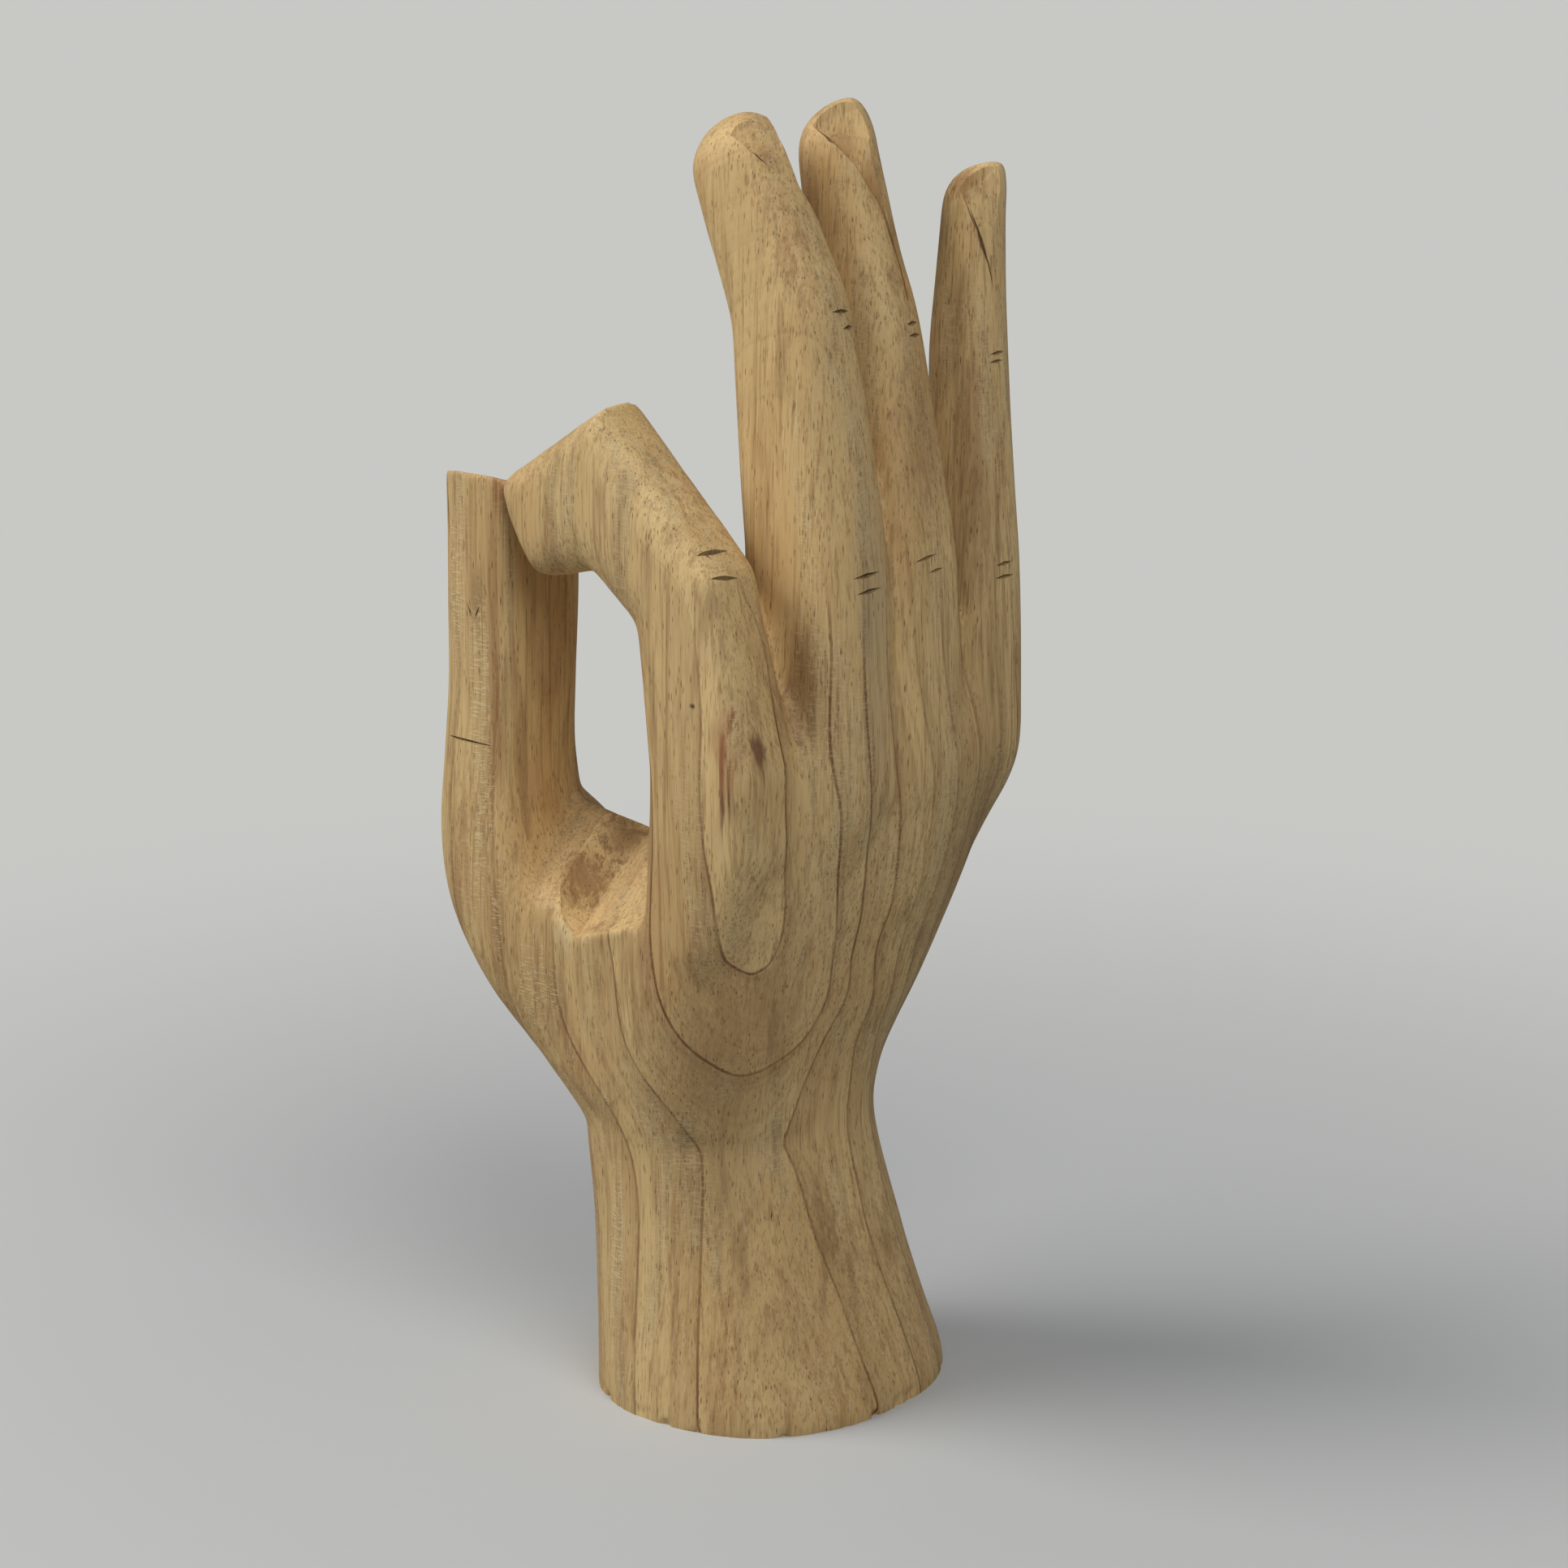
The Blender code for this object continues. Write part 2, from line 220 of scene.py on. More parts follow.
def fingerSolid(name, finger):
    path = fingerPath(finger)
    sections = []
    for row in range(0, len(path), 2):
        before = Vector(path[max(row - 1, 0)][:3])
        after = Vector(path[min(row + 1, len(path) - 1)][:3])
        out = sideways.cross(after - before).normalized()
        sections.append(ring(Vector(path[row][:3]), out, sideways, path[row][3], path[row][4],
                             tuple(path[row][5:9])))
    joint = Vector(path[-1][:3])
    axis = (joint - Vector(path[-2][:3])).normalized()
    out = sideways.cross(axis).normalized()
    depth, width = path[-1][3], path[-1][4]
    for step in range(1, tipSteps):
        share = math.sin(math.pi / 2 * step / tipSteps)
        size = math.sqrt(1 - share**2)
        centre = joint + axis * finger["roundEnd"] * share + out * depth * (1 - size) * finger["endShift"]
        sections.append(ring(centre, out, sideways, depth * size, width * size, tuple(path[-1][5:9])))
    return closedSolid(name + "Block", sections)


def indexSolid():
    sections = []
    steps = indexFinger["steps"]
    stations = [np.array(row, float) for row in indexFinger["stations"]]
    for row, (low, high) in enumerate(zip(stations, stations[1:])):
        for step in range(steps):
            outX, outZ, inX, inZ, width = mixed(low, high, step / steps)
            shift = indexFinger["rootShift"] * (1 - step / steps) if row == 0 else 0
            across = Vector((outX - inX, 0, outZ - inZ)) / 2
            centre = Vector(((outX + inX) / 2, indexFinger["y"] + shift, (outZ + inZ) / 2))
            sections.append(ring(centre, across.normalized(), sideways, across.length, width,
                                 indexFinger["squareness"]))
    return closedSolid("indexBlock", sections)


# Thumb: x, y, z, half depth, half width. The corner between its near and inner faces is the sharp one.
# topAt is a point of the sawn end, topSlope its fall in degrees towards the palm's side.

thumb = {
    "steps": 8,
    "stations": (
        (-9, -10, 48, 12, 18),
        (-13, -13.4, 60, 15.5, 21),
        (-19.3, -15.8, 74, 16, 21),
        (-30.8, -17.9, 88, 16, 21),
        (-43.7, -21, 102, 15.8, 20.5),
        (-52.4, -23.2, 116, 15, 19),
        (-56.2, -24.5, 130, 13.6, 16.8),
        (-56.8, -24.7, 147, 12.3, 14.9),
        (-55.8, -24.4, 165, 11.9, 14.6),
        (-55.5, -24, 185, 12, 15),
        (-55.5, -24, 200, 12, 15),
    ),
    "squareness": (3, 3, 3, 4.5),
    "topAt": (-55.5, -39, 214.8),
    "topSlope": 22,
}


def thumbSolid():
    rows = smoothTable(thumb["stations"], thumb["steps"])
    centres = [Vector(row[:3]) for row in rows]
    sections = []
    for row, centre in enumerate(centres):
        axis = (centres[min(row + 1, len(rows) - 1)] - centres[max(row - 1, 0)]).normalized()
        across = sideways.cross(axis).normalized()
        halfDepth, halfWidth = rows[row][3:]
        sections.append(ring(centre, across, axis.cross(across), halfDepth, halfWidth, thumb["squareness"]))
    _, startY, startZ = thumb["topAt"]
    fall = math.tan(math.radians(thumb["topSlope"]))
    for point in sections[-1]:
        point.z = startZ - (point.y - startY) * fall
    return closedSolid("thumbBlock", sections)


# Web between thumb and palm, cut by a V-shaped valley. Each station has five corners: low and high
# on the near face, the ridge, then high and low on the palm's side.

web = {
    "stations": (
        ((-50, -36, 98), (-52, -38.5, 116), (-52, -18, 145), (-54, -6, 134), (-52, -8, 104)),
        ((-36, -38, 84), (-41, -39.5, 116), (-43, -18, 136.5), (-42, -4, 128), (-38, -6, 100)),
        ((-28, -38.5, 76), (-33, -40.5, 117), (-33, -18, 135), (-31, -3, 126), (-30, -6, 98)),
        ((-20, -38.5, 70), (-25.7, -41, 113), (-21, -18, 134), (-17, -2, 124), (-18, -5, 96)),
        ((-8, -38.5, 66), (-8, -43.5, 118), (-8, -18, 140), (-7, -2, 124), (-8, -2, 90)),
        ((6, -34, 66), (6, -45, 122), (6, -18, 147), (6, -2, 124), (6, 0, 84)),
    ),
    # the valley from the near face over the ridge: its line, the bevel's end, then the middle and
    # the border of the steep side
    "valley": (
        ((-24.3, -46, 111.3), (-2, -50, 111), (-27.2, -47, 112.5), (-29.2, -48, 115)),
        ((-24.6, -38.5, 112), (-2, -43.5, 119.8), (-27.3, -39, 113.8), (-29.3, -39.5, 116)),
        ((-26.2, -32.5, 114.8), (-2, -39, 123), (-30, -34, 117), (-33, -35.5, 120.8)),
        ((-25.5, -26, 121.5), (-2.5, -31, 129.5), (-30.5, -28, 122.6), (-34.5, -30, 125.6)),
        ((-22.8, -18, 130), (-4, -20, 139), (-28.5, -20, 130.3), (-34, -22, 133)),
        ((-20, -4, 133), (-4, -4, 142), (-25, -6, 134.5), (-30, -8, 139)),
    ),
    "cutHeight": 26,
}


def webSolid():
    return closedSolid("webBlock", [[Vector(corner) for corner in station] for station in web["stations"]])


def valleyCutter(steepSide=True):
    up = Vector((0, 0, web["cutHeight"]))
    outlines = []
    for station in web["valley"]:
        line, bevelEnd, scoop, border = (Vector(corner) for corner in station)
        outline = [line, bevelEnd, bevelEnd + up]
        outline += [border + up, border, scoop] if steepSide else [line + up]
        outlines.append(outline)
    return closedSolid("valleyCut", outlines)


# Everything below the table is sawn off: half width and thickness of the block that takes it

saw = {"halfWidth": 90, "thickness": 30}


def baseCutter():
    reach = saw["halfWidth"]
    corners = [(-reach, -reach), (reach, -reach), (reach, reach), (-reach, reach)]
    return closedSolid("baseCut", [[Vector((x, y, z)) for x, y in corners] for z in (-saw["thickness"], 0)])


# Nails: points of the skin along a nail's border, and the ridge from the corner at the tip to the low
# end. From the border, where it is sunk, the face of the nail rises to that ridge. The middle finger is
# flat beyond its ridge too.

nails = {
    "middle": {
        "ridge": ((7.2, -9.3, 297.1), (15.3, -9.3, 282.9)),
        "border": ((3.2, -16.9, 293.1), (5.6, -16.5, 291.7), (8.7, -16.2, 289.8), (11, -14.9, 287.7),
                   (12.9, -13, 285.6), (14.3, -10.5, 283.8)),
        "beyond": (3.2, -4.2, 293.2),
    },
    "ring": {
        "ridge": ((16.2, 13.9, 297.8), (28.9, 13.5, 259)),
        "border": ((6.7, 7, 292.6), (10.6, 7.2, 290.8), (15.8, 10.1, 285), (21.1, 12.1, 276.1),
                   (24.7, 13.6, 265.5), (27, 14.2, 256)),
    },
    "little": {
        "ridge": ((37.4, 37.7, 284.6), (38.6, 37.3, 256)),
        "border": ((29.6, 31.3, 276.6), (31.1, 31.1, 274.6), (33.6, 31.4, 269.4), (35.8, 33, 261.8),
                   (37, 34.6, 254)),
    },
    "sunk": 0.7,
    # how far the face goes on past the ridge, as a share, and past the tip
    "pastRidge": 1.25,
    "pastTip": 12,
    # how far below the low end the cut leaves the skin, and how high it is there
    "runOut": (5, 3),
    "cutHeight": 9,
    # the cut beyond the ridge: start above the tip, share of its width, height and slope at the low end
    "beyondCut": (8, 1.5, 5, 22),
    # the knife's line along the border: width on the nail's side and on the other, depth
    "line": (0.5, 0.2, 1.2),
}


def nailCutters(name):
    tip, low = (Vector(point) for point in nails[name]["ridge"])
    border = [Vector(point) for point in nails[name]["border"]]
    run = (border[-1] - border[0]).normalized()
    out = (tip - border[0]).cross(run).normalized()
    out *= 1 if out.x > 0 else -1
    high = out * nails["cutHeight"]
    outlines = []
    for step, point in enumerate(border):
        far = point.lerp(tip.lerp(low, step / (len(border) - 1)), nails["pastRidge"])
        outlines.append([point - out * nails["sunk"], far, far + high, point + high])
    # past the tip the cut goes straight on, past the low end it rises out of the skin
    below, lifted = nails["runOut"]
    outlines.insert(0, [corner - run * nails["pastTip"] for corner in outlines[0]])
    outlines.append([corner + run * below + out * lifted for corner in outlines[-1]])
    cutters = [closedSolid(name + "NailCut", outlines)]
    if "beyond" in nails[name]:
        start, share, height, slope = nails["beyondCut"]
        run = (low - tip).normalized()
        width = (Vector(nails[name]["beyond"]) - tip) * share
        face = run.cross(width).normalized()
        above = tip - run * start
        outline = [above + width, low + width, low, above]
        top = [point + face * height + run * fall for point, fall in zip(outline, (0, slope, slope, 0))]
        cutters.append(closedSolid(name + "SideCut", [outline, top]))
    return cutters


# One skin round all blocks, then the flat cuts

skin = {
    "voxel": 0.7,
    "softness": 2.3,
    # places that stay crisper: x, y, z, radius and the share of softness kept there
    "crisp": ((-15, -34, 234, 24, 0.02), (19, -38, 203, 12, 0.15), (-44, -36, 204, 18, 0.12),
              (-26, -34, 196, 12, 0.15), (4, -9, 295, 16, 0.25), (13, 14, 296, 16, 0.25),
              (32, 38, 282, 12, 0.2), (-45, -12, 137, 12, 0.2), (-10, -20, 135, 14, 0.15),
              (-13, -42, 117, 14, 0.08), (-34, -42, 202, 12, 0.05),
              (-56, -37, 214, 16, 0.05), (-56, -24, 208, 17, 0.05), (-56, -12, 203, 14, 0.05)),
    # hollows and fibres: width, length along the grain, height
    "hollows": ((15, 34, 0.35), (3.2, 18, 0.08)),
    # soft folds: start, end, half width, depth
    "folds": (((4, -36, 65.5), (19, -12, 65), 3.5, 0.7), ((26, -25, 165), (22, -23, 190), 3, 0.5)),
    # chips along the sawn rim: how high they reach, size, depth, and where in the noise they are taken
    "rim": (3, 3.2, 1.3, (7, 3, 1)),
}


def applied(piece, modifier):
    graph = bpy.context.evaluated_depsgraph_get()
    mesh = bpy.data.meshes.new_from_object(piece.evaluated_get(graph))
    piece.modifiers.remove(modifier)
    old = piece.data
    piece.data = mesh
    bpy.data.meshes.remove(old)


def joined(name, pieces):
    shape = bmesh.new()
    for piece in pieces:
        shape.from_mesh(piece.data)
    mesh = bpy.data.meshes.new(name)
    shape.to_mesh(mesh)
    shape.free()
    for piece in pieces:
        bpy.data.objects.remove(piece)
    whole = bpy.data.objects.new(name, mesh)
    bpy.context.scene.collection.objects.link(whole)
    return whole


def skinned(piece):
    remesh = piece.modifiers.new("skin", "REMESH")
    remesh.mode = "VOXEL"
    remesh.voxel_size = skin["voxel"]
    applied(piece, remesh)


def cutWith(hand, cutter):
    cut = hand.modifiers.new("cut", "BOOLEAN")
    cut.operation = "DIFFERENCE"
    cut.solver = "EXACT"
    cut.object = cutter
    applied(hand, cut)
    bpy.data.objects.remove(cutter)


def fused():
    # the bevel of the valley is cut before the sanding, which rounds it where it meets the palm
    blocks = [palmSolid(), thumbSolid(), webSolid(), indexSolid()]
    blocks += [fingerSolid(name, finger) for name, finger in fingers.items()]
    hand = joined("carvedHand", blocks)
    skinned(hand)
    cutWith(hand, valleyCutter(steepSide=False))
    skinned(hand)
    return hand


def pointsOf(piece):
    points = np.empty(len(piece.data.vertices) * 3)
    piece.data.vertices.foreach_get("co", points)
    return points.reshape(-1, 3)


def setPoints(piece, points):
    piece.data.vertices.foreach_set("co", points.ravel())
    piece.data.update()


def neighboursOf(piece):
    ends = np.empty(len(piece.data.edges) * 2, int)
    piece.data.edges.foreach_get("vertices", ends)
    first, second = ends.reshape(-1, 2).T
    return first, second, np.bincount(ends, minlength=len(piece.data.vertices))


def neighbourSums(first, second, forFirst, forSecond, size):
    return np.bincount(first, forFirst, size) + np.bincount(second, forSecond, size)


def evened(values, neighbours, softness, share=1.0):
    # every value goes halfway to the middle of its neighbours, over and over; softness in millimetres
    first, second, count = neighbours
    for _ in range(round((softness / skin["voxel"]) ** 2 * 4)):
        total = neighbourSums(first, second, values[second], values[first], len(values))
        values = values + (total / count - values) * 0.5 * share
    return values


def sanded(piece):
    points = pointsOf(piece)
    share = np.ones(len(points))
    for x, y, z, radius, kept in skin["crisp"]:
        distance = np.linalg.norm(points - (x, y, z), axis=1)
        share = np.minimum(share, kept + (1 - kept) * np.clip(distance / radius * 2 - 1, 0, 1))
    neighbours = neighboursOf(piece)
    columns = [evened(column, neighbours, skin["softness"], share) for column in points.T]
    setPoints(piece, np.stack(columns, 1))


def scraped(piece):
    # the shallow hollows and fibres that the scraper leaves: every point moves along its normal
    points = pointsOf(piece)
    normals = np.empty(points.size)
    piece.data.vertices.foreach_get("normal", normals)
    lift = np.zeros(len(points))
    for width, length, height in skin["hollows"]:
        places = points / (width, width, length)
        lift += height * np.array([noise.noise(Vector(place)) for place in places])
    for start, end, halfWidth, depth in skin["folds"]:
        start, run = np.array(start), np.subtract(end, start)
        along = np.clip((points - start) @ run / (run @ run), 0, 1)
        away = np.linalg.norm(points - start - along[:, None] * run, axis=1)
        lift -= depth * np.exp(-(away / halfWidth) ** 2)
    reach, size, depth, start = skin["rim"]
    for point in np.nonzero(points[:, 2] < reach)[0]:
        chip = noise.noise(Vector(points[point] / (size, size, size * 1.5)) + Vector(start))
        lift[point] -= depth * max(chip, 0) ** 1.5 * 2 * (1 - max(points[point, 2], 0) / reach)
    setPoints(piece, points + normals.reshape(-1, 3) * lift[:, None])


def flatCuts(hand):
    cutters = [valleyCutter(), baseCutter()]
    for name in fingers:
        cutters += nailCutters(name)
    for cutter in cutters:
        cutWith(hand, cutter)


hand = fused()
print("blocks fused:", len(hand.data.polygons), "faces")
sanded(hand)
scraped(hand)
print("hand sanded and scraped")
skinOf = BVHTree.FromObject(hand, bpy.context.evaluated_depsgraph_get())
flatCuts(hand)
print("flat cuts made:", len(hand.data.polygons), "faces")


# Knife cuts: points on the skin, how far the cut opens on its left and right side, and its depth.
# rise is how far the knife's wedge stands above the skin, and endLift how far its two ends do, so that
# each cut runs out cleanly.

knifeCuts = {
    "rise": 1.2,
    "endLift": 0.15,
    "middle": (
        ((26.5, -12.5, 256.7), (26.7, -5.5, 256), 0.55, 0.55, 0.9),
        ((27.6, -9.8, 252.7), (27.4, -5, 252.6), 0.6, 0.6, 0.9),
        ((35, -15.6, 199), (35.7, -6.2, 199.2), 0.55, 0.55, 1),
        ((35.5, -15, 195.4), (35.9, -6, 195.6), 0.55, 0.55, 1),
    ),
    "ring": (
        ((28.9, 11.6, 250.5), (28.7, 16.4, 250.4), 0.6, 0.6, 0.9),
        ((29.3, 11.6, 248), (29.1, 17, 247.6), 0.5, 0.5, 0.8),
        ((36.6, 4.6, 199.2), (37.2, 12.8, 200), 0.45, 0.45, 0.7),
        ((37.5, 8, 196.2), (37.5, 14.8, 196.4), 0.4, 0.4, 0.6),
    ),
    "little": (
        ((37, 32.2, 241.5), (37.5, 38, 241.5), 0.5, 0.5, 0.9),
        ((37.1, 32, 239.7), (37.6, 37.2, 239.7), 0.45, 0.45, 0.8),
        ((40.7, 30.4, 194), (40.8, 37.4, 194), 0.5, 0.5, 0.9),
        ((40.7, 29.8, 191.2), (40.9, 38, 190.8), 0.5, 0.5, 0.8),
    ),
    "index": (
        ((12.8, -42.6, 206), (15.6, -33, 206.8), 0.7, 0.7, 1),
        ((13, -41.2, 207.8), (15.6, -39.5, 205), 0.4, 0.4, 0.6),
        ((16.9, -43, 201.6), (19.9, -34.8, 200.9), 0.6, 0.6, 0.9),
    ),
    "thumb": (
        ((-63.4, -38, 152.1), (-49, -39.2, 151.9), 0.3, 0.3, 0.9),
    ),
    "thumbNail": (
        ((-63.6, -37.6, 213.4), (-63.2, -37.8, 195), 0.35, 0.35, 0.5),
        ((-63, -38, 195.4), (-67.6, -24, 189), 0.4, 0.4, 0.6),
        ((-67.6, -24.6, 189), (-63.4, -10.4, 197), 0.4, 0.4, 0.6),
        ((-63.4, -10.8, 196.6), (-63.4, -11, 203), 0.35, 0.35, 0.5),
        ((-57, -38.9, 185.2), (-54.6, -39, 180), 0.25, 0.25, 0.4),
        ((-54.8, -39, 180), (-52.5, -38.9, 185), 0.25, 0.25, 0.4),
    ),
    "indexSeam": (
        ((-40, -42, 209), (-38, -43.5, 204.5), (-35.6, -43.5, 200.5), (-33.5, -41, 196), 0.4, 0.4, 1),
    ),
    "wrist": (
        ((17.8, -22.4, 51), (18.4, -23.4, 47.6), 0.2, 0.2, 0.4),
    ),
}


def emptySlots(mesh):
    # one for the wood and one for the wood inside the knife cuts
    for _ in range(2):
        mesh.materials.append(None)


def knifeCutter(skinOf, line, left, right, depth):
    # a groove with a V-shaped section that runs out at both ends
    if len(line) == 2:
        line = (line[0], Vector(line[0]).lerp(Vector(line[1]), 0.5), line[1])
    places = [skinOf.find_nearest(Vector(point))[:2] for point in line]
    spread = (depth + knifeCuts["rise"]) / depth
    shape = bmesh.new()
    start, end = (shape.verts.new(at + out * knifeCuts["endLift"]) for at, out in (places[0], places[-1]))
    rows = []
    for row, (before, (at, out), after) in enumerate(zip(places, places[1:], places[2:]), 1):
        across = out.cross(after[0] - before[0]).normalized() * math.sin(math.pi * row / (len(places) - 1))
        top = at + out * knifeCuts["rise"]
        corners = (at - out * depth * across.length, top + across * left * spread,
                   top - across * right * spread)
        rows.append([shape.verts.new(corner) for corner in corners])
    for corner in range(3):
        following = (corner + 1) % 3
        shape.faces.new((start, rows[0][corner], rows[0][following]))
        shape.faces.new((end, rows[-1][following], rows[-1][corner]))
        for low, high in zip(rows, rows[1:]):
            shape.faces.new((low[corner], high[corner], high[following], low[following]))
    # the cut's walls take the second finish, darker for dust and for painted shade in the groove
    for face in shape.faces:
        face.material_index = 1
    bmesh.ops.recalc_face_normals(shape, faces=shape.faces)
    mesh = bpy.data.meshes.new("knifeCut")
    shape.to_mesh(mesh)
    shape.free()
    emptySlots(mesh)
    cutter = bpy.data.objects.new("knifeCut", mesh)
    bpy.context.scene.collection.objects.link(cutter)
    return cutter


# Growth rings: places on the skin where the dark ring lines show. Whole numbers are lines, the others
# hold the field between them. Every point of the hand gets its own ring number, as a smooth field.

growthRings = {
    "ease": 20,
    "growthSoftness": 1.5,
    "leastLength": 0.05,
    "lines": (
        (0.4, ((26, -44, 159), (26, -44, 150), (27, -41, 141))),
        (0.8, ((22, -36, 117), (22, -37, 126))),
        (1, ((17, -46, 167), (17, -46, 150), (19, -45, 132), (19, -42, 119), (19, -37, 110.5),
             (21, -32.5, 107.5), (23, -29, 108.5), (24.5, -27.5, 114), (26, -28, 123), (28, -30, 137),
             (29, -32, 152), (14, -45, 190), (10, -38, 211), (4, -34, 217), (0, -33, 221), (-2, -41, 221),
             (-3, -45, 211))),
        (1.6, ((20, -22, 205), (28, -22, 185))),
        (2, ((1, -44, 132), (1, -45, 119), (3, -44, 104), (8, -41, 92.5), (12, -36, 87), (16, -29, 84),
             (20, -22, 86), (23, -14, 92), (25, -11, 101), (28, -12, 112), (31, -15, 127), (34, -19, 147),
             (30, -20, 212), (28, -19, 223), (25, -20, 232), (20, -20, 237), (14, -20, 237), (8, -20, 231))),
        (3, ((-13, -42, 115), (-11, -43, 103), (-9, -42, 91), (-4, -40, 82), (2, -38, 73), (6, -34, 64),
             (7, -35, 50), (8, -37, 31), (10, -40, 5), (37, -11, 147), (32, -7, 125), (28, -6, 109),
             (23, -8, 91), (19, -13, 78), (18, -16, 68), (19, -15, 59), (22, -13, 45), (27, -10, 31),
             (33, -8, 14), (36, -13, 183), (35, -12, 201), (33, -10, 218), (29, -13, 244), (23, -19, 253),
             (13, -20, 250))),
        (4, ((-31.5, -40, 111), (-31, -40, 99), (-28, -39, 88), (-22, -39, 79), (-15, -39, 70),
             (-11, -38, 61), (-9, -38, 47), (-9, -39, 28), (-8, -41, 3), (37, 0, 145), (32, 3, 119),
             (25, 5, 95), (20, 4, 79), (19, 4, 67), (21, 5, 53), (27, 6, 30), (34, 9, 11))),
        (5, ((-40, -37, 81), (-44, -40, 93), (-46, -42, 108), (-48, -41, 127), (-49.5, -39, 146),
             (-48.3, -38.4, 167), (-48.7, -38.7, 204), (39, 10, 144), (34, 11, 123), (28, 11, 102),
             (21, 12, 85), (17, 15, 71))),
        (6, ((-59.5, -40, 107), (-61, -41, 127), (-61.5, -39, 150), (-61.5, -38, 200), (40, 18, 147),
             (36, 18, 127))),
        (4.4, ((-43.5, -25, 205), (-44, -25, 165), (-42, -25, 140))),
        (7.3, ((-68, -25, 205), (-68, -25, 165), (-69, -25, 130))),
    ),
}


def ringField(points):
    # a smooth field that has each line's number along that line
    places = np.array([place for _, line in growthRings["lines"] for place in line], float)
    numbers = [number for number, line in growthRings["lines"] for _ in line]
    count = len(places)
    system = np.zeros((count + 4, count + 4))
    system[:count, :count] = np.linalg.norm(places[:, None] - places[None], axis=2) ** 3
    system[:count, :count] += growthRings["ease"] * np.eye(count)
    system[:count, count] = system[count, :count] = 1
    system[:count, count + 1:] = places
    system[count + 1:, :count] = places.T
    weights = np.linalg.solve(system, np.append(numbers, np.zeros(4)))
    values = weights[count] + points @ weights[count + 1:]
    for place, weight in zip(places, weights):
        values += weight * np.linalg.norm(points - place, axis=1) ** 3
    return values


def keepValues(piece, name, values):
    kept = piece.data.attributes.new(name, "FLOAT", "POINT")
    kept.data.foreach_set("value", values.astype(np.float32))


def markRings(piece):
    # the ring number, and how much it grows in a millimetre of skin, so that lines keep one width
    points = pointsOf(piece)
    neighbours = neighboursOf(piece)
    first, second, count = neighbours
    numbers = ringField(points)
    lengths = np.maximum(np.linalg.norm(points[first] - points[second], axis=1), growthRings["leastLength"])
    slopes = ((numbers[first] - numbers[second]) / lengths) ** 2
    total = neighbourSums(first, second, slopes, slopes, len(points))
    growth = evened(np.sqrt(2 * total / count), neighbours, growthRings["growthSoftness"])
    keepValues(piece, "ringNumber", numbers)
    keepValues(piece, "ringGrowth", growth)


# Materials

def linear(hexColour):
    # an sRGB hex value as linear red, green, blue and alpha
    channels = [int(hexColour[at:at + 2], 16) / 255 for at in (1, 3, 5)]
    return tuple(c / 12.92 if c <= 0.04045 else ((c + 0.055) / 1.055) ** 2.4 for c in channels) + (1,)


def addNode(tree, kind, settings=None, links=None, output=0):
    # settings name the node's own fields, links its inputs: each a value or another node's output
    node = tree.nodes.new("ShaderNode" + kind)
    for field, value in (settings or {}).items():
        setattr(node, field, value)
    for socket, value in (links or {}).items():
        if isinstance(value, bpy.types.NodeSocket):
            tree.links.new(value, node.inputs[socket])
        else:
            node.inputs[socket].default_value = value
    return node.outputs[output]


def ranged(tree, value, start, full, low=0.0, high=1.0, smooth=False):
    # low at start and high at full, in proportion in between, or with a soft beginning and end
    settings = {"interpolation_type": "SMOOTHSTEP"} if smooth else None
    return addNode(tree, "MapRange", settings, {"Value": value, "From Min": start, "From Max": full,
                                                "To Min": low, "To Max": high})


def product(tree, first, second):
    return addNode(tree, "Math", {"operation": "MULTIPLY"}, {0: first, 1: second})


def tinted(tree, colour, share, tone):
    return addNode(tree, "Mix", {"data_type": "RGBA"}, {0: share, 6: colour, 7: linear(tone)}, 2)


def newMaterial(name, roughness):
    material = bpy.data.materials.new(name)
    material.use_nodes = True
    shader = material.node_tree.nodes["Principled BSDF"]
    shader.inputs["Roughness"].default_value = roughness
    return material, material.node_tree, shader


